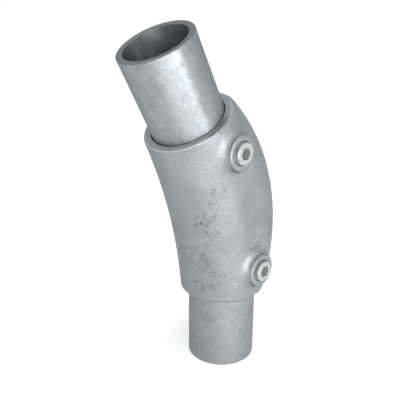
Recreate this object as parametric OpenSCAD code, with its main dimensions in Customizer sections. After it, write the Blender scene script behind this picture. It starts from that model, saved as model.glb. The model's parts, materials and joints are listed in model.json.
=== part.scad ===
// Variable-angle elbow clamp for round handrail tube.
// A hollow cast elbow takes one tube stub in each mouth. Each stub swivels a few degrees
// in its mouth and is locked there by a hex-socket set screw that bears on its side.
// Origin: centre of the lower tube's free end, which stands on the floor.
// +Z runs up the lower tube, +X is the way the upper tube leans, +Y is the screw side.

/* [Tubes] */
// Outside diameter of both tubes
tube_d = 48.3; // [46:0.1:50]
// Wall thickness of both tubes
tube_wall = 4; // [2:0.1:5]
// Length of the lower tube outside the casting
lower_free = 53.9; // [20:0.1:150]
// Length of the upper tube outside the casting
upper_free = 53.5; // [20:0.1:150]
// Length of each tube inside the casting
tube_in = 48; // [36:0.5:50]
// Chamfer on every edge of the tube ends
tube_chamfer = 0.3; // [0.2:0.1:0.8]
// Tilt of the lower tube in its mouth, towards +X
lower_tilt = 0; // [-9:0.1:9]
// Tilt of the upper tube in its mouth, towards +X
upper_tilt = -2.9; // [-9:0.1:9]

/* [Casting] */
// Angle between the two mouth faces
mouth_bend = 30.9; // [24:0.1:34]
// Straight distance between the mouth centres
mouth_span = 130.2; // [126:0.1:150]
// Rise of the hollow side's centre line over that distance
front_rise = 6; // [4:0.1:8]
// Rise of the bulging side's centre line over that distance
back_rise = 23.6; // [20:0.1:28]
// Distance from the mouth centres to the bulging side's centre line
back_inset = 2; // [1:0.1:3]
// Wall thickness of the casting
cast_wall = 4.1; // [3:0.1:6]
// Room round the tube inside the casting, for the swivel
swivel_room = 1.65; // [1.5:0.05:3]
// Gap between the tube and the ring that it swivels in
mouth_gap = 0.8; // [0.7:0.05:1]
// Depth of that ring
mouth_land = 3; // [2:0.1:3.2]
// Width of the flat ring at each mouth, with its eased edge
mouth_rim = 4.5; // [3.5:0.1:5]
// Ease on the outer edge of each mouth
mouth_ease = 0.7; // [0.4:0.1:1.2]
// Angle at which the casting widens behind each mouth
mouth_flare = 45; // [40:1:55]

/* [Screw bosses] */
// Distance of each screw behind its mouth face
screw_in = 21.6; // [18:0.1:24]
// Offset of each screw towards the bulging side
screw_offset = 2.1; // [0:0.1:4]
// Diameter of each boss
boss_d = 22.8; // [21:0.1:25]
// Height of each boss over the casting's side
boss_rise = 5.2; // [3:0.1:7]
// Round on the edge of each boss
boss_round = 1.2; // [0.5:0.1:2]
// Hollow fillet at the foot of each boss
boss_fillet = 6; // [3:0.5:8]
// Countersink at the mouth of each screw hole
boss_countersink = 0.8; // [0.4:0.1:1.2]

/* [Set screws] */
// Outside diameter of the screw thread
screw_d = 14; // [12:0.1:15]
// Height of each screw over its boss
screw_proud = 2.1; // [1:0.1:5]
// Chamfer at the screw's outer end
screw_chamfer = 0.5; // [0.3:0.1:1.2]
// Size of the hex key across the flats
key_af = 7; // [5:0.5:8]
// Depth of the hex socket
key_depth = 5.5; // [4.5:0.1:6.5]
// Diameter of the flat tip that bears on the tube
tip_d = 9.5; // [7:0.5:11]
// Length of the tip's taper
tip_taper = 2; // [1:0.1:3]
// Clearance between the thread and its hole, on the radius
thread_gap = 0.07; // [0.03:0.01:0.1]
// Gap between the screw's tip and the tube
tip_gap = 0.3; // [0.2:0.05:0.5]

/* [Hidden] */
$fn = 96;

cut = 1; // how far a cutting shape runs past the face it cuts
tube_r = tube_d / 2;
bore_r = tube_r - tube_wall;
cavity_r = tube_r + swivel_room;
body_r = cavity_r + cast_wall;
throat_r = tube_r + mouth_gap;
rim_r = throat_r + mouth_rim;
pivot_in = mouth_land / 2; // each tube swivels about the middle of its ring

// The hollow side's centre line is an arc through both mouth centres
half_span = mouth_span / 2;
front_arc = (half_span * half_span + front_rise * front_rise) / (2 * front_rise);
front_half_angle = asin(half_span / front_arc);

// The bulging side's centre line is an arc that starts beside the mouth centres
back_half = half_span - back_inset * sin(mouth_bend / 2);
back_height = back_rise + back_inset * cos(mouth_bend / 2);
back_arc = (back_half * back_half + back_height * back_height) / (2 * back_height);
back_half_angle = asin(back_half / back_arc);
lap = 3; // how far each swept disc laps over the web beyond its own centre line
reach = mouth_span + 2 * body_r; // longer than the casting in every direction

// The cavity flares behind each ring so far in that the wall keeps its thickness there
flare_start = max(mouth_land, mouth_ease + cast_wall / sin(mouth_flare) - mouth_rim / tan(mouth_flare));
throat_ease = 0.4; // ease on the inner edge of each ring

screw_r = screw_d / 2;
hole_r = screw_r + thread_gap;
boss_r = boss_d / 2;
boss_face = body_r + boss_rise; // distance of the boss face from the middle plane
screw_face = boss_face + screw_proud;
screw_tip = tube_r + tip_gap;
boss_foot_angle = 45; // slope at which the foot fillet runs into the casting

cast_colour = [0.62, 0.65, 0.66];
tube_colour = [0.66, 0.69, 0.70];
screw_colour = [0.80, 0.81, 0.79];

// Mouth frames: the mouth face is z = 0, +z runs into the casting and +x is the hollow side
module at_lower_mouth() {
    translate([0, 0, lower_free]) children();
}

module at_casting_middle() {
    at_lower_mouth() rotate([0, mouth_bend / 2, 0]) translate([0, 0, half_span]) children();
}

module at_upper_mouth() {
    at_casting_middle() mirror([0, 0, 1]) translate([0, 0, -half_span]) rotate([0, -mouth_bend / 2, 0])
        children();
}

// A disc of radius r swept along one centre line, without the part that faces the other line
module half_sweep(arc, rise, half_angle, r, kept_from) {
    translate([arc - rise, 0, 0]) rotate([90, 0, 0]) rotate([0, 0, 180 - half_angle])
        rotate_extrude(angle = 2 * half_angle) intersection() {
            translate([arc, 0]) circle(r);
            translate([arc + kept_from, -2 * r]) square([2 * r, 4 * r]);
        }
}

// The flat-sided middle between the two centre lines, a hair thinner than the discs
module web(r) {
    thickness = 2 * sqrt(r * r - lap * lap / 4);
    rotate([90, 0, 0]) linear_extrude(thickness, center = true) difference() {
        translate([back_arc - back_rise, 0]) circle(back_arc);
        translate([front_arc - front_rise, 0]) circle(front_arc);
    }
}

module elbow_sweep(r) {
    at_casting_middle() {
        half_sweep(front_arc, front_rise, front_half_angle, r, lap - 2 * r);
        web(r);
        half_sweep(back_arc, back_rise, back_half_angle, r, -lap);
    }
}

// What lies behind a mouth: a round opening with an eased edge that widens at the flare angle
module behind_mouth(r, start, ease) {
    rotate_extrude() polygon([
        [0, start],
        for (a = [0:30:90]) [r - ease + ease * sin(a), start + ease - ease * cos(a)],
        [r + reach * tan(mouth_flare), start + ease + reach],
        [0, start + ease + reach]
    ]);
}

module outer_envelope() {
    behind_mouth(rim_r, 0, mouth_ease);
}

module cavity_envelope() {
    behind_mouth(throat_r, flare_start - throat_ease, throat_ease);
}

module cavity() {
    intersection() {
        elbow_sweep(cavity_r);
        at_lower_mouth() cavity_envelope();
        at_upper_mouth() cavity_envelope();
    }
}

module mouth_bore() {
    translate([0, 0, -cut]) cylinder(r = throat_r, h = cut + flare_start + throat_r);
}

// Screw frames: the boss axis is z, measured from the middle plane
module at_lower_screw() {
    at_lower_mouth() translate([-screw_offset, 0, screw_in]) rotate([-90, 0, 0]) children();
}

module at_upper_screw() {
    at_upper_mouth() translate([-screw_offset, 0, screw_in]) rotate([-90, 0, 0]) children();
}

// Boss with a hollow fillet at its foot and a rounded edge
module boss() {
    fillet_top = boss_face - boss_round;
    foot_r = boss_r + boss_fillet * (1 - cos(boss_foot_angle));
    foot_z = fillet_top - boss_fillet * sin(boss_foot_angle);
    rotate_extrude() {
        difference() {
            polygon([
                [0, cavity_r],
                [foot_r + foot_z - cavity_r, cavity_r],
                [foot_r, foot_z],
                [boss_r, fillet_top],
                [0, fillet_top]
            ]);
            translate([boss_r + boss_fillet, fillet_top]) circle(boss_fillet);
        }
        translate([0, fillet_top - cut]) square([boss_r - boss_round, boss_round + cut]);
        translate([boss_r - boss_round, fillet_top]) circle(boss_round);
    }
}

module screw_hole() {
    cylinder(r = hole_r, h = boss_face + cut);
    translate([0, 0, boss_face - boss_countersink])
        cylinder(r1 = hole_r, r2 = hole_r + boss_countersink + cut, h = boss_countersink + cut);
}

module elbow_casting() {
    color(cast_colour) difference() {
        union() {
            intersection() {
                elbow_sweep(body_r);
                at_lower_mouth() outer_envelope();
                at_upper_mouth() outer_envelope();
            }
            at_lower_screw() boss();
            at_upper_screw() boss();
        }
        cavity();
        at_lower_mouth() mouth_bore();
        at_upper_mouth() mouth_bore();
        at_lower_screw() screw_hole();
        at_upper_screw() screw_hole();
    }
}

// Tube stub from its free end at z = 0, with every edge chamfered
module tube(length) {
    c = tube_chamfer;
    color(tube_colour) rotate_extrude() polygon([
        [bore_r, c],
        [bore_r + c, 0],
        [tube_r - c, 0],
        [tube_r, c],
        [tube_r, length - c],
        [tube_r - c, length],
        [bore_r + c, length],
        [bore_r, length - c]
    ]);
}

module lower_tube() {
    at_lower_mouth() translate([0, 0, pivot_in]) rotate([0, lower_tilt, 0])
        translate([0, 0, -pivot_in - lower_free]) tube(lower_free + tube_in);
}

module upper_tube() {
    at_upper_mouth() translate([0, 0, pivot_in]) rotate([0, -upper_tilt, 0])
        translate([0, 0, -pivot_in - upper_free]) tube(upper_free + tube_in);
}

// Set screw with a tapered tip and a hex socket
module set_screw() {
    color(screw_colour) difference() {
        rotate_extrude() polygon([
            [0, screw_tip],
            [tip_d / 2, screw_tip],
            [screw_r, screw_tip + tip_taper],
            [screw_r, screw_face - screw_chamfer],
            [screw_r - screw_chamfer, screw_face],
            [0, screw_face]
        ]);
        translate([0, 0, screw_face - key_depth])
            cylinder(d = key_af / cos(30), h = key_depth + cut, $fn = 6);
    }
}

module lower_set_screw() {
    at_lower_screw() set_screw();
}

module upper_set_screw() {
    at_upper_screw() set_screw();
}

elbow_casting();
lower_tube();
upper_tube();
lower_set_screw();
upper_set_screw();
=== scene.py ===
import json
import math

import bpy
from mathutils import Matrix, Vector

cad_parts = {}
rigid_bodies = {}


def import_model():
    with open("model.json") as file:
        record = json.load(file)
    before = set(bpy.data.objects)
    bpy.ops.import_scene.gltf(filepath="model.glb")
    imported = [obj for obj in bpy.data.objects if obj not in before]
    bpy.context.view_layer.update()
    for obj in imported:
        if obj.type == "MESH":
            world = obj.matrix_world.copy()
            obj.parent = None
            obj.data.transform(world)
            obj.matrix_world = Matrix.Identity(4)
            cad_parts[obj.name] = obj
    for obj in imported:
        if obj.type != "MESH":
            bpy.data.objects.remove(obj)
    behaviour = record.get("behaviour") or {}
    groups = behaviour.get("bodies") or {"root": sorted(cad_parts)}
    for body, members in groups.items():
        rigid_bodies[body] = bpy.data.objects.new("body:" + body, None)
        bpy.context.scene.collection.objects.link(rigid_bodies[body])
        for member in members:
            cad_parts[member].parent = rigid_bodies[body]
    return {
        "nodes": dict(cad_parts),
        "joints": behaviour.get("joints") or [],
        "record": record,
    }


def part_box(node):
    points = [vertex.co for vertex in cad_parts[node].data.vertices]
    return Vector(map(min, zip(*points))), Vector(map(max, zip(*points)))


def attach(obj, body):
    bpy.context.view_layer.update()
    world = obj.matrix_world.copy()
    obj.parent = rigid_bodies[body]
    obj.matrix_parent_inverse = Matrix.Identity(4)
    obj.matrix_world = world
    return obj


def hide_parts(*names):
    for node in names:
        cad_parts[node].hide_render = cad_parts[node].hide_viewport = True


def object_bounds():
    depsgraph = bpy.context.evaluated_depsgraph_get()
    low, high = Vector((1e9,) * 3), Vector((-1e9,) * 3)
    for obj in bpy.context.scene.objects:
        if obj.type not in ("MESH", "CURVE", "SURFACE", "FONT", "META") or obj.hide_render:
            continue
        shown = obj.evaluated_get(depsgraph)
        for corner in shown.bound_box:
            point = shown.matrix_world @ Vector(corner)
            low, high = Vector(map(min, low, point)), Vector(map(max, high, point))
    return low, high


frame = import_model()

cadLow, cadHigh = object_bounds()  # the clamp's own box, whose middle the lamps are placed round


# Helpers for every piece

def deselectAll():
    bpy.ops.object.select_all(action="DESELECT")


def pick(piece):
    deselectAll()
    piece.select_set(True)
    bpy.context.view_layer.objects.active = piece


def newest(name):
    piece = bpy.context.object
    piece.name = name
    piece.data.name = name
    return piece


def settle(piece):
    # the finished piece keeps its place in its mesh, and its object goes to the origin
    pick(piece)
    bpy.ops.object.transform_apply(location=True, rotation=True, scale=True)


def applyModifier(piece, kind, **settings):
    pick(piece)
    modifier = piece.modifiers.new(kind.title(), kind)
    for setting, value in settings.items():
        setattr(modifier, setting, value)
    bpy.ops.object.modifier_apply(modifier=modifier.name)


def combine(piece, other, operation):
    applyModifier(piece, "BOOLEAN", operation=operation, object=other, solver="EXACT")
    bpy.data.objects.remove(other)


def selectIn(piece, mode, test):
    # leaves the piece in edit mode with the vertices, edges or faces that pass the test selected
    pick(piece)
    bpy.ops.object.mode_set(mode="EDIT")
    bpy.ops.mesh.select_mode(type=mode)
    bpy.ops.mesh.select_all(action="DESELECT")
    bpy.ops.object.mode_set(mode="OBJECT")
    parts = {"VERT": piece.data.vertices, "EDGE": piece.data.edges, "FACE": piece.data.polygons}[mode]
    for part in parts:
        part.select = test(part)
    bpy.ops.object.mode_set(mode="EDIT")


def backToObject():
    bpy.ops.object.mode_set(mode="OBJECT")


def editAll(piece):
    pick(piece)
    bpy.ops.object.mode_set(mode="EDIT")
    bpy.ops.mesh.select_mode(type="VERT")
    bpy.ops.mesh.select_all(action="SELECT")


def copyOfNode(node, name):
    # a CAD node's mesh is loose triangles, so its copy is merged
    piece = bpy.data.objects.new(name, frame["nodes"][node].data.copy())
    bpy.context.scene.collection.objects.link(piece)
    pick(piece)
    bpy.ops.mesh.customdata_custom_splitnormals_clear()
    editAll(piece)
    bpy.ops.mesh.remove_doubles(threshold=0.000002)
    backToObject()
    return piece


def weightGroup(piece, name, weight):
    group = piece.vertex_groups.new(name=name)
    for vertex in piece.data.vertices:
        group.add([vertex.index], weight(vertex.co), "REPLACE")
    return name


def fade(value, start, end):
    # 0 at start, 1 at end, eased
    t = min(1, max(0, (value - start) / (end - start)))
    return t * t * (3 - 2 * t)


def mount(name):
    for entry in frame["record"]["mounts"]:
        if entry["name"] == name:
            return Vector(entry["pos_m"]), Vector(entry["axis"]).normalized(), entry["dims"]


def jointPoint(name):
    for joint in frame["joints"]:
        if joint["name"] == name:
            return Vector(joint["pos_m"])


# Where the mouths, screws and tubes are

mouthBend = math.radians(30.9)  # between the two mouth faces
mouths = [
    (jointPoint("lower_tube_swivel"), Vector((0, 0, 1))),
    (jointPoint("upper_tube_swivel"), Vector((-math.sin(mouthBend), 0, -math.cos(mouthBend)))),
]


def screwPlace(node):
    low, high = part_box(node)
    return {
        "x": (low.x + high.x) / 2,
        "z": (low.z + high.z) / 2,
        "tip": low.y,
        "face": high.y,
        "radius": (high.x - low.x) / 2,
    }


screwPlaces = {node: screwPlace(node) for node in ("lower_set_screw", "upper_set_screw")}


def offMouth(point, mouth):
    # distance from the mouth's axis, and depth behind the middle of its ring
    rel = point - mouth[0]
    depth = rel.dot(mouth[1])
    return (rel - depth * mouth[1]).length, depth


def offScrew(point):
    return min(math.hypot(point.x - s["x"], point.z - s["z"]) for s in screwPlaces.values())


# Casting: the cast skin is remeshed and softened, then the mouths and screw holes are cut crisp

touching = 0.00005  # nearer than this counts as on the line
holesFrom = 0.02    # of the bores, only the screw holes lie beyond this y

casting = {
    "cell": 0.0007,          # size of the remeshed squares
    "ringRadius": 0.02495,   # the ring that each tube swivels in
    "ringDepth": 0.003,
    "rimRadius": 0.02945,    # outer edge of the flat ring at each mouth
    "cavityRadius": 0.0258,
    "holeRadius": 0.00707,
    "countersink": 0.0008,
    "screwProud": 0.0021,    # how far a screw stands over its boss
    "bossRadius": 0.0114,
    "bossRound": 0.0012,
    "footReach": (0.008, 0.017),  # how far the soft foot of a boss spreads, bulging side and hollow side
    "footSoftness": 220,     # smoothing passes there
    "grainSize": 0.0016,     # orange peel of the zinc on the cast surface
    "grainHeight": 0.00007,
    "waveSize": 0.011,       # slow unevenness of the casting
    "waveHeight": 0.00022,
}


def isBore(face):
    for mouth in mouths:
        off, depth = offMouth(face.center, mouth)
        if abs(off - casting["ringRadius"]) < 0.00012 and abs(depth) < casting["ringDepth"] / 2 + 0.0001:
            return True
    rim = casting["holeRadius"] + casting["countersink"]
    if offScrew(face.center) > rim + touching or face.center.y < holesFrom:
        return False
    return -0.1 < face.normal.y < 0.95


def selectRim(cavity, onRim):
    # the cavity's open edges, and of them only this rim's
    selectIn(cavity, "EDGE", lambda line: False)
    bpy.ops.mesh.select_non_manifold(
        extend=False, use_wire=False, use_multi_face=False, use_non_contiguous=False, use_verts=False)
    backToObject()
    points = cavity.data.vertices
    loose = {line.index for line in cavity.data.edges if line.select}
    selectIn(cavity, "EDGE", lambda line: (
        line.index in loose and all(onRim(points[i].co) for i in line.vertices)))


def stretchToMouth(cavity, mouth):
    # the ring's wall, drawn out past the mouth face
    def onRim(point):
        off, depth = offMouth(point, mouth)
        ring = abs(off - casting["ringRadius"]) < touching
        return ring and abs(depth - casting["ringDepth"] / 2) < touching

    selectRim(cavity, onRim)
    out = -mouth[1] * (casting["ringDepth"] + 0.001)
    bpy.ops.mesh.extrude_edges_move(TRANSFORM_OT_translate={"value": out})
    backToObject()


def stretchToBoss(cavity, screw):
    # the screw hole, with its countersink drawn out past the boss
    face = screw["face"] - casting["screwProud"]
    sink = casting["countersink"]

    def onRim(point):
        near = abs(point.z - screw["z"]) < 2 * casting["holeRadius"]
        return near and point.y > holesFrom and offScrew(point) < casting["holeRadius"] + touching

    selectRim(cavity, onRim)
    bpy.ops.mesh.extrude_edges_move(TRANSFORM_OT_translate={"value": (0, 0.005, 0)})
    bpy.ops.transform.resize(value=(1, 0, 1), center_override=(screw["x"], face - sink, screw["z"]))
    bpy.ops.mesh.extrude_edges_move(TRANSFORM_OT_translate={"value": (0, sink + 0.001, 0)})
    grown = (casting["holeRadius"] + sink + 0.001) / casting["holeRadius"]
    bpy.ops.transform.resize(value=(grown, 1, grown), center_override=(screw["x"], 0, screw["z"]))
    backToObject()


def splitCasting():
    # without the bores' walls, the outside and the cavity are two loose shells
    outside = copyOfNode("elbow_casting", "casting_skin")
    selectIn(outside, "FACE", isBore)
    bpy.ops.mesh.delete(type="FACE")
    backToObject()
    highest = max(outside.data.vertices, key=lambda vertex: vertex.co.y).index
    selectIn(outside, "VERT", lambda vertex: vertex.index == highest)
    bpy.ops.mesh.select_linked()
    bpy.ops.mesh.select_all(action="INVERT")
    bpy.ops.mesh.separate(type="SELECTED")
    backToObject()
    cavity = [piece for piece in bpy.context.selected_objects if piece is not outside][0]
    for mouth in mouths:
        stretchToMouth(cavity, mouth)
    for screw in screwPlaces.values():
        stretchToBoss(cavity, screw)
    for shell in (outside, cavity):
        editAll(shell)
        bpy.ops.mesh.fill_holes(sides=0)
        bpy.ops.mesh.select_all(action="SELECT")
        bpy.ops.mesh.quads_convert_to_tris(quad_method="BEAUTY", ngon_method="BEAUTY")
        bpy.ops.mesh.normals_make_consistent(inside=False)
        backToObject()
    return outside, cavity


def noiseTexture(name, size):
    texture = bpy.data.textures.new(name, "CLOUDS")
    texture.noise_scale = size
    texture.noise_depth = 2
    return texture


def makeCasting():
    outside, cavity = splitCasting()
    exact = bpy.data.objects.new("exact_outside", outside.data.copy())
    bpy.context.scene.collection.objects.link(exact)
    applyModifier(outside, "REMESH", mode="VOXEL", voxel_size=casting["cell"])
    print("casting remeshed:", len(outside.data.polygons), "faces")

    edge = casting["bossRadius"]
    bossFace = min(s["face"] for s in screwPlaces.values()) - casting["screwProud"]
    bossEdge = bossFace - casting["bossRound"]

    def footWeight(point):
        if point.y < 0:
            return 0
        off = offScrew(point)
        screw = min(screwPlaces.values(), key=lambda s: math.hypot(point.x - s["x"], point.z - s["z"]))
        short, long = casting["footReach"]
        reach = short + (long - short) * fade((point.x - screw["x"]) / max(off, 0.001), -0.8, 0.6)
        under = 1 - fade(point.y, bossEdge - 0.0006, bossEdge)
        return under * (1 - fade(off, edge + reach * 0.5, edge + reach))

    foot = weightGroup(outside, "foot", footWeight)
    applyModifier(outside, "SMOOTH", factor=0.5, iterations=2)
    applyModifier(outside, "SMOOTH", factor=0.5, iterations=casting["footSoftness"], vertex_group=foot)
    applyModifier(
        outside, "SHRINKWRAP", target=exact, wrap_method="NEAREST_SURFACEPOINT",
        vertex_group=foot, invert_vertex_group=True)

    def skinWeight(point):
        # the mouth faces and the bosses' rings stay plane
        offAxis, depth = min((offMouth(point, mouth) for mouth in mouths), key=lambda pair: abs(pair[1]))
        nearFace = fade(depth, -casting["ringDepth"] / 2 + 0.0004, 0.001)
        onBoss = (1 - fade(offScrew(point), edge - 0.001, edge + 0.001)) * (point.y > 0.033)
        return nearFace * (1 - 0.7 * onBoss)

    skin = weightGroup(outside, "skin", skinWeight)
    applyModifier(
        outside, "DISPLACE", texture=noiseTexture("cast_waves", casting["waveSize"]),
        strength=casting["waveHeight"], mid_level=0.5, texture_coords="LOCAL", vertex_group=skin)
    applyModifier(
        outside, "DISPLACE", texture=noiseTexture("cast_grain", casting["grainSize"]),
        strength=casting["grainHeight"], mid_level=0.5, texture_coords="LOCAL", vertex_group=skin)
    outside.vertex_groups.clear()
    print("casting softened and grained")

    combine(outside, cavity, "DIFFERENCE")
    for piece in (outside, exact):
        pick(piece)
        bpy.ops.object.shade_smooth_by_angle(angle=math.radians(40))

    def edgeWeight(point):
        # the eased edges of the mouths and bosses shade as the exact ones do
        offAxis, depth = min((offMouth(point, mouth) for mouth in mouths), key=lambda pair: abs(pair[1]))
        off = offScrew(point)
        atMouth = (offAxis > casting["ringRadius"] + 0.0002) * (1 - fade(depth, 0.0004, 0.0016))
        atBoss = (off > casting["holeRadius"] + casting["countersink"] + 0.0001) * (off < edge + 0.0004)
        return max(atMouth, atBoss * fade(point.y, bossEdge - 0.0008, bossEdge - 0.0002))

    crisp = weightGroup(outside, "crisp", edgeWeight)
    applyModifier(
        outside, "DATA_TRANSFER", object=exact, use_loop_data=True, data_types_loops={"CUSTOM_NORMAL"},
        loop_mapping="POLYINTERP_NEAREST", vertex_group=crisp)
    outside.vertex_groups.clear()
    bpy.data.objects.remove(exact)
    print("casting cut:", len(outside.data.polygons), "faces")

    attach(outside, "casting")
    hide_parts("elbow_casting")
    return outside


# Set screws: a cut thread, a chamfered end, a tapered tip and a hex socket

setScrew = {
    "pitch": 0.0013,
    "threadDepth": 0.0008,
    "crest": 0.40,           # share of the pitch
    "steps": 72,             # round one turn
    "chamfer": 0.0005,
    "tipRadius": 0.00475,
    "tipTaper": 0.002,
    "keyFlats": 0.0073,
    "keyDepth": 0.0055,
    "drillPoint": 0.0012,
    "keyTurn": {"lower_set_screw": -37, "upper_set_screw": -31},  # degrees
}


def makeThread(radius, length):
    pitch = setScrew["pitch"]
    depth = setScrew["threadDepth"]
    bpy.ops.mesh.primitive_plane_add(size=pitch, rotation=(math.pi / 2, 0, 0))
    thread = newest("thread")
    settle(thread)
    # the plane becomes one tooth: its inner edge goes and its outer edge is the crest
    selectIn(thread, "FACE", lambda face: True)
    bpy.ops.mesh.delete(type="ONLY_FACE")
    backToObject()
    points = thread.data.vertices
    selectIn(thread, "EDGE", lambda line: all(points[i].co.x < 0 for i in line.vertices))
    bpy.ops.mesh.delete(type="EDGE")
    backToObject()
    editAll(thread)
    bpy.ops.transform.resize(value=(depth / pitch, 1, 1), center_override=(0, 0, 0))
    bpy.ops.transform.translate(value=(radius - depth / 2, 0, 0))
    backToObject()
    selectIn(thread, "VERT", lambda vertex: vertex.co.x > radius - depth / 2)
    bpy.ops.transform.resize(value=(1, 1, setScrew["crest"]), center_override=(0, 0, 0))
    backToObject()
    turns = math.ceil(length / pitch) + 4
    applyModifier(
        thread, "SCREW", axis="Z", angle=2 * math.pi, screw_offset=pitch, iterations=turns,
        steps=setScrew["steps"], render_steps=setScrew["steps"])
    # the turns are merged, and the rod is a little longer than the blank that trims it
    editAll(thread)
    bpy.ops.mesh.remove_doubles(threshold=0.000005)
    bpy.ops.transform.translate(value=(0, 0, -1.7 * pitch))
    bpy.ops.mesh.bisect(plane_co=(0, 0, -0.6 * pitch), plane_no=(0, 0, 1), use_fill=True, clear_inner=True)
    bpy.ops.mesh.select_all(action="SELECT")
    bpy.ops.mesh.bisect(
        plane_co=(0, 0, length + 0.6 * pitch), plane_no=(0, 0, 1), use_fill=True, clear_outer=True)
    bpy.ops.mesh.select_all(action="SELECT")
    bpy.ops.mesh.normals_make_consistent(inside=False)
    backToObject()
    return thread


def makeBlank(radius, length):
    bpy.ops.mesh.primitive_cylinder_add(
        vertices=96, radius=radius, depth=length, location=(0, 0, length / 2))
    blank = newest("blank")
    settle(blank)
    selectIn(blank, "FACE", lambda face: face.center.z > length - 0.0001)
    bpy.ops.mesh.bevel(offset=setScrew["chamfer"], offset_type="OFFSET", segments=1, affect="EDGES")
    bpy.ops.mesh.select_all(action="SELECT")
    bpy.ops.mesh.bisect(plane_co=(0, 0, setScrew["tipTaper"]), plane_no=(0, 0, 1))
    backToObject()
    selectIn(blank, "VERT", lambda vertex: vertex.co.z < 0.0001)
    narrow = setScrew["tipRadius"] / radius
    bpy.ops.transform.resize(value=(narrow, narrow, 1), center_override=(0, 0, 0))
    backToObject()
    return blank


def makeKeySocket(length):
    corner = setScrew["keyFlats"] / 2 / math.cos(math.pi / 6)
    depth = setScrew["keyDepth"] + 0.001
    bpy.ops.mesh.primitive_cylinder_add(
        vertices=6, radius=corner, depth=depth, location=(0, 0, length + 0.001 - depth / 2))
    socket = newest("key_socket")
    settle(socket)
    floor = length - setScrew["keyDepth"]
    selectIn(socket, "FACE", lambda face: face.center.z < floor + 0.0001)
    bpy.ops.mesh.inset(thickness=0.0006)
    bpy.ops.mesh.extrude_region_move(TRANSFORM_OT_translate={"value": (0, 0, -setScrew["drillPoint"])})
    bpy.ops.transform.resize(value=(0.06, 0.06, 1), center_override=(0, 0, 0))
    backToObject()
    return socket


def makeSetScrew(node, body, template):
    place = screwPlaces[node]
    name = node + "_threaded"
    if template is None:
        length = place["face"] - place["tip"]
        screw = makeThread(place["radius"], length)
        combine(screw, makeBlank(place["radius"] + 0.00002, length), "INTERSECT")
        combine(screw, makeKeySocket(length), "DIFFERENCE")
        screw.name = name
        screw.data.name = name
        template = screw.data.copy()
    else:
        screw = bpy.data.objects.new(name, template.copy())
        bpy.context.scene.collection.objects.link(screw)
    screw.rotation_euler = (-math.pi / 2, math.radians(setScrew["keyTurn"][node]), 0)
    screw.location = (place["x"], place["tip"], place["z"])
    settle(screw)
    bpy.ops.object.shade_smooth_by_angle(angle=math.radians(28))
    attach(screw, body)
    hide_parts(node)
    return screw, template


# Tubes: the CAD tubes stay, and each gets the weld bead along its bore

tubes = {
    # seam: degrees round the bore; drawn: how far the highlight is drawn out along the tube
    "lower_tube": {
        "mount": "lower_tube_bore", "seam": 200,
        "drawn": 0.0, "roughness": (0.66, 0.57), "contrast": (0.40, 0.74)},
    "upper_tube": {
        "mount": "upper_tube_bore", "seam": 280,
        "drawn": 0.75, "roughness": (0.47, 0.39), "contrast": (0.36, 0.64)},
}

weldBead = {
    "width": 0.0013,
    "height": 0.0003,
    "setBack": 0.0004,      # from the tube's ends
    "rough": 0.0002,
}


def tubeFrame(node):
    # the tube's own frame: z runs in from its free end
    place, outward, dims = mount(tubes[node]["mount"])
    inward = -outward
    across = Vector((0, 1, 0)).cross(inward).normalized()
    turn = Matrix((across, Vector((0, 1, 0)), inward)).transposed()
    return place + outward * 0.0005, turn, dims


def makeWeldBead(node):
    place, turn, dims = tubeFrame(node)
    bore = dims["r_mm"] / 1000
    length = dims["length_mm"] / 1000 + 0.0006 - 2 * weldBead["setBack"]
    bpy.ops.mesh.primitive_cylinder_add(
        vertices=14, radius=weldBead["width"] / 2, depth=length, location=(0, 0, 0))
    bead = newest(node + "_weld_bead")
    points = bead.data.vertices
    selectIn(bead, "EDGE", lambda line: (
        abs(points[line.vertices[0]].co.z - points[line.vertices[1]].co.z) > length / 2))
    bpy.ops.mesh.subdivide(number_cuts=90)
    bpy.ops.mesh.select_all(action="SELECT")
    bpy.ops.transform.resize(value=(weldBead["height"] / weldBead["width"], 1, 1), center_override=(0, 0, 0))
    backToObject()
    applyModifier(
        bead, "DISPLACE", texture=noiseTexture("bead_lumps", 0.0025),
        strength=weldBead["rough"], mid_level=0.5, texture_coords="LOCAL")
    seam = math.radians(tubes[node]["seam"])
    aside = Matrix.Rotation(seam, 4, "Z") @ Matrix.Translation((bore, 0, weldBead["setBack"] + length / 2))
    bead.matrix_world = Matrix.Translation(place) @ turn.to_4x4() @ aside
    settle(bead)
    bpy.ops.object.shade_smooth_by_angle(angle=math.radians(50))
    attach(bead, node)
    return bead


# Materials

def newMaterial(name):
    material = bpy.data.materials.new(name)
    material.use_nodes = True
    return material, material.node_tree, material.node_tree.nodes["Principled BSDF"]


def addNode(tree, kind, values=None, **settings):
    made = tree.nodes.new("ShaderNode" + kind)
    for setting, value in settings.items():
        setattr(made, setting, value)
    for socket, value in (values or {}).items():
        if isinstance(value, bpy.types.NodeSocket):
            tree.links.new(value, made.inputs[socket])
        else:
            made.inputs[socket].default_value = value
    return made


def math2(tree, operation, first, second=0.0, clamp=False):
    return addNode(tree, "Math", {0: first, 1: second}, operation=operation, use_clamp=clamp).outputs[0]


def noise(tree, coords, scale, detail=2.0, roughness=0.5, distortion=0.0):
    made = addNode(tree, "TexNoise", {
        "Vector": coords, "Scale": scale, "Detail": detail, "Roughness": roughness, "Distortion": distortion})
    return made.outputs["Fac"]


def remap(tree, value, fromLow, fromHigh, toLow=0.0, toHigh=1.0, smooth=False):
    made = addNode(tree, "MapRange", {
        "Value": value, "From Min": fromLow, "From Max": fromHigh, "To Min": toLow, "To Max": toHigh})
    made.interpolation_type = "SMOOTHSTEP" if smooth else "LINEAR"
    return made.outputs["Result"]


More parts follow.
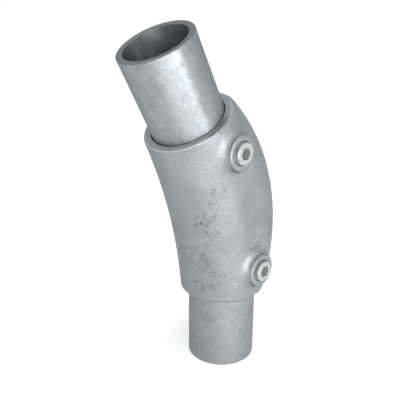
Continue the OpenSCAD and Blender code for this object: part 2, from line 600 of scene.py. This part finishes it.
def mixColour(tree, share, first, second):
    made = addNode(tree, "Mix", data_type="RGBA")
    for socket, value in (("Factor_Float", share), ("A_Color", first), ("B_Color", second)):
        target = next(s for s in made.inputs if s.identifier == socket)
        if isinstance(value, bpy.types.NodeSocket):
            tree.links.new(value, target)
        else:
            target.default_value = value
    return next(s for s in made.outputs if s.identifier == "Result_Color")


def bump(tree, height, strength, distance, after=None):
    values = {"Height": height, "Strength": strength, "Distance": distance}
    if after is not None:
        values["Normal"] = after
    return addNode(tree, "Bump", values).outputs["Normal"]


castFinish = {
    "colour": (0.224, 0.243, 0.250, 1),
    "paleColour": (0.318, 0.344, 0.354, 1),
    "pitColour": (0.055, 0.060, 0.064, 1),
    # painted shade: the casting inside each mouth, seen through the gap round the tube, goes near black
    "wallShadeColour": (0.015, 0.016, 0.017, 1),
    # painted reflection: the flat ring at each mouth is paler, standing in for the tube's highlight mirrored
    # in it
    "ringReflectionColour": (0.400, 0.430, 0.440, 1),
    # painted highlight: a pale line along the ring's eased outer edge
    "edgeHighlightColour": (0.470, 0.500, 0.512, 1),
    "edgeTint": (0.45, 0.47, 0.48, 1),
    "metallic": 0.65,
    "roughness": (0.31, 0.38),
    "faceDulling": 0.28,     # roughness added on the flat rings
    "wallShadeDepth": 0.020,     # how far in from a mouth the wall is painted dark as shade
    "cloudScale": 55,        # slow changes of tone
    "grainScale": 900,
    "pitScale": 980,
    "pitWander": 0.0014,     # how far the outlines of the pits stray
    "emptyShare": 0.30,      # of the cells in a patch that hold no pit
    "strayShare": 0.004,     # of the cells elsewhere that hold one
    # middle of each patch of pits and its reach, metres
    "pitPatches": [
        ((0.0355, 0.0239, 0.1346), 0.007), ((0.0313, 0.0272, 0.1393), 0.004),
        ((0.0089, 0.0299, 0.1307), 0.005), ((0.0379, 0.0145, 0.1153), 0.006),
        ((0.0353, 0.0206, 0.1222), 0.006), ((0.0389, -0.0041, 0.1060), 0.007),
        ((0.0320, 0.0199, 0.1083), 0.005), ((0.0347, -0.0039, 0.0874), 0.008),
        ((0.0348, 0.0059, 0.0898), 0.008), ((0.0334, 0.0136, 0.0958), 0.006),
        ((0.0319, 0.0123, 0.0855), 0.007), ((0.0288, 0.0160, 0.0802), 0.007),
        ((0.0265, 0.0176, 0.0725), 0.007), ((0.0278, 0.0144, 0.0673), 0.006),
        ((0.0307, 0.0065, 0.0662), 0.005), ((0.0010, 0.0299, 0.0935), 0.007),
        ((-0.0032, 0.0299, 0.1008), 0.005), ((-0.0165, 0.0285, 0.0985), 0.008),
        ((0.0505, 0.0220, 0.1675), 0.003),
    ],
}


def castPits(tree, coords):
    # the stained patches, and the pits in them with a few strays elsewhere
    patches = 0.0
    for middle, reach in castFinish["pitPatches"]:
        away = addNode(tree, "VectorMath", {0: coords, 1: middle}, operation="DISTANCE").outputs["Value"]
        patches = math2(tree, "MAXIMUM", patches, remap(tree, away, reach * 1.35, reach * 0.6, smooth=True))
    loose = remap(tree, noise(tree, coords, 210, 3, 0.6), 0.46, 0.58)
    stain = math2(tree, "MULTIPLY", patches, loose)

    warp = addNode(tree, "TexNoise", {"Vector": coords, "Scale": 700, "Detail": 2}).outputs["Color"]
    wander = (castFinish["pitWander"],) * 3
    warped = addNode(tree, "VectorMath", {0: warp, 1: wander, 2: coords}, operation="MULTIPLY_ADD").outputs[0]
    cells = addNode(tree, "TexVoronoi", {"Vector": warped, "Scale": castFinish["pitScale"]})
    lots = addNode(tree, "SeparateColor", {0: cells.outputs["Color"]})
    chosen = math2(tree, "GREATER_THAN", lots.outputs[0], castFinish["emptyShare"])
    strays = math2(tree, "GREATER_THAN", lots.outputs[1], 1 - castFinish["strayShare"])
    keep = math2(tree, "MAXIMUM", math2(tree, "MULTIPLY", stain, chosen), strays)
    size = remap(tree, lots.outputs[2], 0, 1, 0.18, 0.66)
    depth = remap(tree, math2(tree, "SUBTRACT", size, cells.outputs["Distance"]), 0.0, 0.2, smooth=True)
    return stain, math2(tree, "MULTIPLY", depth, keep, clamp=True)


def mouthShares(tree, coords, place, inward):
    # the wall inside a mouth with its painted shade, its flat ring with a painted reflection, and the ring's
    # edge with a painted highlight
    rel = addNode(tree, "VectorMath", {0: coords, 1: place}, operation="SUBTRACT").outputs[0]
    depth = addNode(tree, "VectorMath", {0: rel, 1: inward}, operation="DOT_PRODUCT").outputs["Value"]
    along = addNode(tree, "VectorMath", {0: inward, "Scale": depth}, operation="SCALE").outputs[0]
    off = addNode(tree, "VectorMath", {0: rel, 1: along}, operation="DISTANCE").outputs["Value"]
    face = -casting["ringDepth"] / 2
    rim = casting["rimRadius"]
    wall = casting["cavityRadius"]
    deep = castFinish["wallShadeDepth"]

    def band(depths, offs):
        return math2(tree, "MULTIPLY", remap(tree, depth, *depths), remap(tree, off, *offs))

    # painted shade on the casting inside the mouth, near black from the face to the depth given above
    wallShade = band((face + 0.0001, face + 0.0005), (wall + 0.0006, wall + 0.0002))
    wallShade = math2(tree, "MULTIPLY", wallShade, remap(tree, depth, deep, deep * 0.8))
    # the flat ring: its paler colour is a painted reflection, and its added roughness is real
    flat = band((face + 0.00025, face + 0.0001), (rim - 0.00025, rim - 0.00065))
    # painted highlight along the ring's eased outer edge
    edgeHighlight = band((face + 0.0009, face + 0.0005), (rim - 0.00105, rim - 0.00065))
    return wallShade, flat, edgeHighlight


def castMaterial():
    material, tree, shader = newMaterial("galvanised_casting")
    coords = addNode(tree, "TexCoord").outputs["Object"]
    clouds = remap(tree, noise(tree, coords, castFinish["cloudScale"], 4, 0.55, 0.4), 0.32, 0.68)
    grain = remap(tree, noise(tree, coords, castFinish["grainScale"], 3, 0.6), 0.3, 0.7)
    share = math2(tree, "ADD", math2(tree, "MULTIPLY", clouds, 0.55), math2(tree, "MULTIPLY", grain, 0.45))
    colour = mixColour(tree, share, castFinish["colour"], castFinish["paleColour"])
    stain, pits = castPits(tree, coords)
    colour = mixColour(tree, math2(tree, "MULTIPLY", stain, 0.14), colour, castFinish["pitColour"])
    colour = mixColour(tree, math2(tree, "MULTIPLY", pits, 0.95), colour, castFinish["pitColour"])
    flats = 0.0
    for place, inward in mouths:
        wallShade, flat, edgeHighlight = mouthShares(tree, coords, place, inward)
        # painted shade inside the mouth
        colour = mixColour(tree, wallShade, colour, castFinish["wallShadeColour"])
        # painted reflection on the flat ring
        colour = mixColour(tree, math2(tree, "MULTIPLY", flat, 0.85), colour, castFinish["ringReflectionColour"])
        # painted highlight on the ring's edge
        colour = mixColour(tree, math2(tree, "MULTIPLY", edgeHighlight, 0.85), colour, castFinish["edgeHighlightColour"])
        flats = math2(tree, "MAXIMUM", flats, flat)
    tree.links.new(colour, shader.inputs["Base Color"])
    shader.inputs["Specular Tint"].default_value = castFinish["edgeTint"]
    shader.inputs["Metallic"].default_value = castFinish["metallic"]
    low, high = castFinish["roughness"]
    added = math2(tree, "MULTIPLY", flats, castFinish["faceDulling"])
    dull = math2(tree, "ADD", remap(tree, clouds, 0, 1, high, low), added)
    tree.links.new(dull, shader.inputs["Roughness"])
    peel = bump(tree, noise(tree, coords, 420, 2, 0.5), 0.14, 0.0006)
    fine = bump(tree, noise(tree, coords, 1150, 2, 0.6), 0.70, 0.00043, peel)
    sunken = bump(tree, math2(tree, "SUBTRACT", 1.0, pits), 0.25, 0.0003, fine)
    tree.links.new(sunken, shader.inputs["Normal"])
    return material


tubeFinish = {
    "colour": (0.250, 0.271, 0.278, 1),
    "paleColour": (0.350, 0.379, 0.388, 1),
    "cutColour": (0.235, 0.248, 0.255, 1),
    "boreColour": (0.250, 0.270, 0.275, 1),
    "edgeTint": (0.45, 0.47, 0.48, 1),
    "metallic": 0.9,
}


def tubeMaterial(tube):
    material, tree, shader = newMaterial("galvanised_" + tube)
    place, turn, dims = tubeFrame(tube)
    coords = addNode(tree, "TexCoord").outputs["Object"]
    own = addNode(tree, "Mapping", {
        "Vector": coords, "Location": place, "Rotation": turn.to_euler()}, vector_type="TEXTURE").outputs[0]
    parts = addNode(tree, "SeparateXYZ", {0: own})
    z = parts.outputs[2]
    aside = addNode(tree, "CombineXYZ", {0: parts.outputs[0], 1: parts.outputs[1]}).outputs[0]
    radius = addNode(tree, "VectorMath", {0: aside}, operation="LENGTH").outputs["Value"]

    def strokes(twist, scale, squeeze):
        # noise drawn out along a helix, like marks wiped on by hand
        angle = math2(tree, "MULTIPLY", z, twist)
        turned = addNode(tree, "VectorRotate", {"Vector": own, "Angle": angle}, rotation_type="Z_AXIS")
        turned = turned.outputs[0]
        drawn = addNode(tree, "VectorMath", {0: turned, 1: (1, 1, squeeze)}, operation="MULTIPLY").outputs[0]
        return noise(tree, drawn, scale, 3, 0.6, 0.3)

    spangle = math2(tree, "ADD", noise(tree, own, 120, 2, 0.5, 0.6), noise(tree, own, 460, 4, 0.65, 0.5))
    streaks = math2(tree, "ADD", strokes(34, 620, 0.2), strokes(-22, 520, 0.3))
    share = math2(tree, "ADD", math2(tree, "MULTIPLY", spangle, 0.30), math2(tree, "MULTIPLY", streaks, 0.20))
    share = remap(tree, share, *tubes[tube]["contrast"])
    colour = mixColour(tree, share, tubeFinish["colour"], tubeFinish["paleColour"])
    bore = dims["r_mm"] / 1000
    length = dims["length_mm"] / 1000
    inside = remap(tree, radius, bore + 0.0005, bore + 0.0002)
    colour = mixColour(tree, inside, colour, tubeFinish["boreColour"])
    farCut = remap(tree, z, length + 0.0004, length + 0.0005)
    nearCut = math2(tree, "MAXIMUM", remap(tree, z, 0.00022, 0.00012), farCut)
    colour = mixColour(tree, nearCut, colour, tubeFinish["cutColour"])
    tree.links.new(colour, shader.inputs["Base Color"])
    shader.inputs["Specular Tint"].default_value = tubeFinish["edgeTint"]
    shader.inputs["Metallic"].default_value = tubeFinish["metallic"]
    dull = remap(tree, share, 0, 1, *tubes[tube]["roughness"])
    dull = math2(tree, "ADD", dull, math2(tree, "MULTIPLY", nearCut, 0.1))
    tree.links.new(dull, shader.inputs["Roughness"])
    skin = bump(tree, strokes(34, 620, 0.25), 0.20, 0.0003)
    skin = bump(tree, noise(tree, own, 380, 4, 0.6), 0.35, 0.0006, skin)
    tree.links.new(bump(tree, noise(tree, own, 1500, 2, 0.6), 0.15, 0.0001, skin), shader.inputs["Normal"])
    axis = addNode(tree, "VectorTransform", {
        "Vector": turn.col[2]}, vector_type="VECTOR", convert_from="OBJECT", convert_to="WORLD").outputs[0]
    tree.links.new(axis, shader.inputs["Tangent"])
    shader.inputs["Anisotropic"].default_value = tubes[tube]["drawn"]
    return material


screwFinish = {
    "colour": (0.370, 0.392, 0.379, 1),
    "paleColour": (0.437, 0.461, 0.444, 1),
    # painted shade: the thread roots are darker, as shade in the grooves
    "rootShadeColour": (0.300, 0.316, 0.306, 1),
    "socketColour": (0.420, 0.440, 0.445, 1),
    "metallic": 0.45,
}


def screwMaterial(name):
    material, tree, shader = newMaterial("plated_" + name)
    place = screwPlaces[name]
    coords = addNode(tree, "TexCoord").outputs["Object"]
    face = (place["x"], place["face"], place["z"])
    own = addNode(tree, "Mapping", {"Vector": coords, "Location": face}, vector_type="TEXTURE").outputs[0]
    parts = addNode(tree, "SeparateXYZ", {0: own})
    aside = addNode(tree, "CombineXYZ", {0: parts.outputs[0], 1: parts.outputs[2]}).outputs[0]
    radius = addNode(tree, "VectorMath", {0: aside}, operation="LENGTH").outputs["Value"]
    mottle = noise(tree, own, 420, 3, 0.6)
    colour = mixColour(tree, remap(tree, mottle, 0.3, 0.7), screwFinish["colour"], screwFinish["paleColour"])
    outer = place["radius"]
    behind = remap(tree, parts.outputs[1], -0.0003, -0.0006)
    # painted shade in the thread's grooves, below the screw's face
    root = math2(tree, "MULTIPLY", remap(tree, radius, outer - 0.0001, outer - 0.0005), behind)
    colour = mixColour(tree, math2(tree, "MULTIPLY", root, 0.7), colour, screwFinish["rootShadeColour"])
    central = math2(tree, "LESS_THAN", radius, setScrew["keyFlats"] / 2 * 1.2)
    inSocket = math2(tree, "MULTIPLY", remap(tree, parts.outputs[1], -0.00005, -0.0003), central)
    colour = mixColour(tree, inSocket, colour, screwFinish["socketColour"])
    tree.links.new(colour, shader.inputs["Base Color"])
    shader.inputs["Metallic"].default_value = screwFinish["metallic"]
    tree.links.new(remap(tree, mottle, 0.3, 0.7, 0.50, 0.40), shader.inputs["Roughness"])
    tree.links.new(bump(tree, noise(tree, own, 2200, 2, 0.6), 0.15, 0.0001), shader.inputs["Normal"])
    return material


def dress(piece, material):
    piece.data.materials.clear()
    piece.data.materials.append(material)


# Studio: white floor and background, one key lamp and soft fills

studio = {
    "floorSize": 8.0,
    "floorTone": 0.85,
    "floorLift": (0.60, 0.92),    # light of its own that the floor shows to the camera, near and far; the lower near value is painted shade, deepening the shadow by the object
    "liftReach": (0.030, 0.09),   # from the origin, metres
    "shadowDepth": 0.75,          # how much of its lighting the floor shows, shadow included
    "worldStrength": 0.36,
    "lamps": [
        # name, azimuth from +X towards +Y, elevation, distance, width, height, power
        ("key_lamp", 91, 0, 0.8, 0.30, 0.20, 2.2),
        ("front_lamp", 66, 0, 0.8, 0.34, 0.20, 1.7),
        ("low_lamp", 54, -13, 0.36, 0.20, 0.06, 0.15),
        ("side_lamp", 38, -2, 0.8, 0.34, 0.18, 1.2),
        ("top_lamp", 62, 34, 0.8, 0.26, 0.26, 0.8),
        ("edge_lamp", 104, 42, 0.8, 0.16, 0.16, 0.9),
    ],
}


def seenAsBackground(tree):
    # camera, glossy and transmission rays see the plain white background
    path = addNode(tree, "LightPath")
    seen = math2(tree, "MAXIMUM", path.outputs["Is Camera Ray"], path.outputs["Is Glossy Ray"])
    return math2(tree, "MAXIMUM", seen, path.outputs["Is Transmission Ray"])


def makeFloor():
    bpy.ops.mesh.primitive_plane_add(size=studio["floorSize"], location=(0, 0, 0))
    floor = newest("floor")
    material, tree, shader = newMaterial("floor_white")
    output = tree.nodes["Material Output"]
    tree.nodes.remove(shader)
    plain = addNode(tree, "BsdfDiffuse", {"Color": (studio["floorTone"],) * 3 + (1,)})
    dim = addNode(tree, "BsdfDiffuse", {"Color": (studio["shadowDepth"],) * 3 + (1,)})
    coords = addNode(tree, "TexCoord").outputs["Object"]
    away = addNode(tree, "VectorMath", {0: coords}, operation="LENGTH").outputs["Value"]
    # painted shade: less light of its own near the object, so the shadow there shows deeper
    lift = remap(tree, away, *studio["liftReach"], *studio["floorLift"], smooth=True)
    white = addNode(tree, "Emission", {"Color": (1, 1, 1, 1), "Strength": lift})
    shown = addNode(tree, "AddShader", {0: dim.outputs[0], 1: white.outputs[0]})
    lifted = addNode(tree, "MixShader", {0: seenAsBackground(tree), 1: plain.outputs[0], 2: shown.outputs[0]})
    clear = addNode(tree, "BsdfTransparent")
    behind = addNode(tree, "NewGeometry").outputs["Backfacing"]
    oneSided = addNode(tree, "MixShader", {0: behind, 1: lifted.outputs[0], 2: clear.outputs[0]})
    tree.links.new(oneSided.outputs[0], output.inputs["Surface"])
    floor.data.materials.append(material)


def makeWorld():
    world = bpy.context.scene.world or bpy.data.worlds.new("studio")
    bpy.context.scene.world = world
    world.use_nodes = True
    tree = world.node_tree
    back = tree.nodes["Background"]
    back.inputs["Color"].default_value = (1, 1, 1, 1)
    strength = remap(tree, seenAsBackground(tree), 0, 1, studio["worldStrength"], 1.0)
    tree.links.new(strength, back.inputs["Strength"])
    bpy.context.scene.view_settings.view_transform = "Standard"


def makeLamps():
    centre = (cadLow + cadHigh) / 2
    for name, azimuth, elevation, distance, width, height, power in studio["lamps"]:
        a, e = math.radians(azimuth), math.radians(elevation)
        way = Vector((math.cos(a) * math.cos(e), math.sin(a) * math.cos(e), math.sin(e)))
        bpy.ops.object.light_add(type="AREA", location=centre + way * distance)
        lamp = newest(name)
        lamp.data.energy = power
        lamp.data.shape = "RECTANGLE"
        lamp.data.size = width
        lamp.data.size_y = height
        lamp.rotation_euler = way.to_track_quat("Z", "Y").to_euler()


camera = {
    "place": (0.26916, 0.24007, 0.24348),
    "aim": (0.01129, -0.01157, 0.11835),
    "lens": 49.28,
    "roll": 0.234,          # degrees
}


def makeCamera():
    place, aim = Vector(camera["place"]), Vector(camera["aim"])
    forward = (aim - place).normalized()
    right = forward.cross(Vector((0, 0, 1))).normalized()
    up = right.cross(forward)
    roll = math.radians(camera["roll"])
    across = math.cos(roll) * right + math.sin(roll) * up
    upward = -math.sin(roll) * right + math.cos(roll) * up
    bpy.ops.object.camera_add(location=place)
    view = newest("photo_camera")
    view.rotation_euler = Matrix((across, upward, -forward)).transposed().to_euler()
    view.data.lens = camera["lens"]
    view.data.sensor_width = 36
    view.data.clip_start = 0.01
    view.data.clip_end = 50
    bpy.context.scene.camera = view


makeCamera()
makeFloor()
makeWorld()
makeLamps()
print("studio and camera ready")

skin = makeCasting()
dress(skin, castMaterial())

screwMesh = None
for screwNode in screwPlaces:
    screw, screwMesh = makeSetScrew(screwNode, screwNode, screwMesh)
    dress(screw, screwMaterial(screwNode))
print("set screws threaded:", len(screw.data.polygons), "faces each")

for tubeNode in tubes:
    finish = tubeMaterial(tubeNode)
    dress(makeWeldBead(tubeNode), finish)
    dress(frame["nodes"][tubeNode], finish)
print("tubes finished")

# the CAD nodes that the pieces replace
dress(frame["nodes"]["elbow_casting"], skin.data.materials[0])
for hidden in screwPlaces:
    dress(frame["nodes"][hidden], screw.data.materials[0])
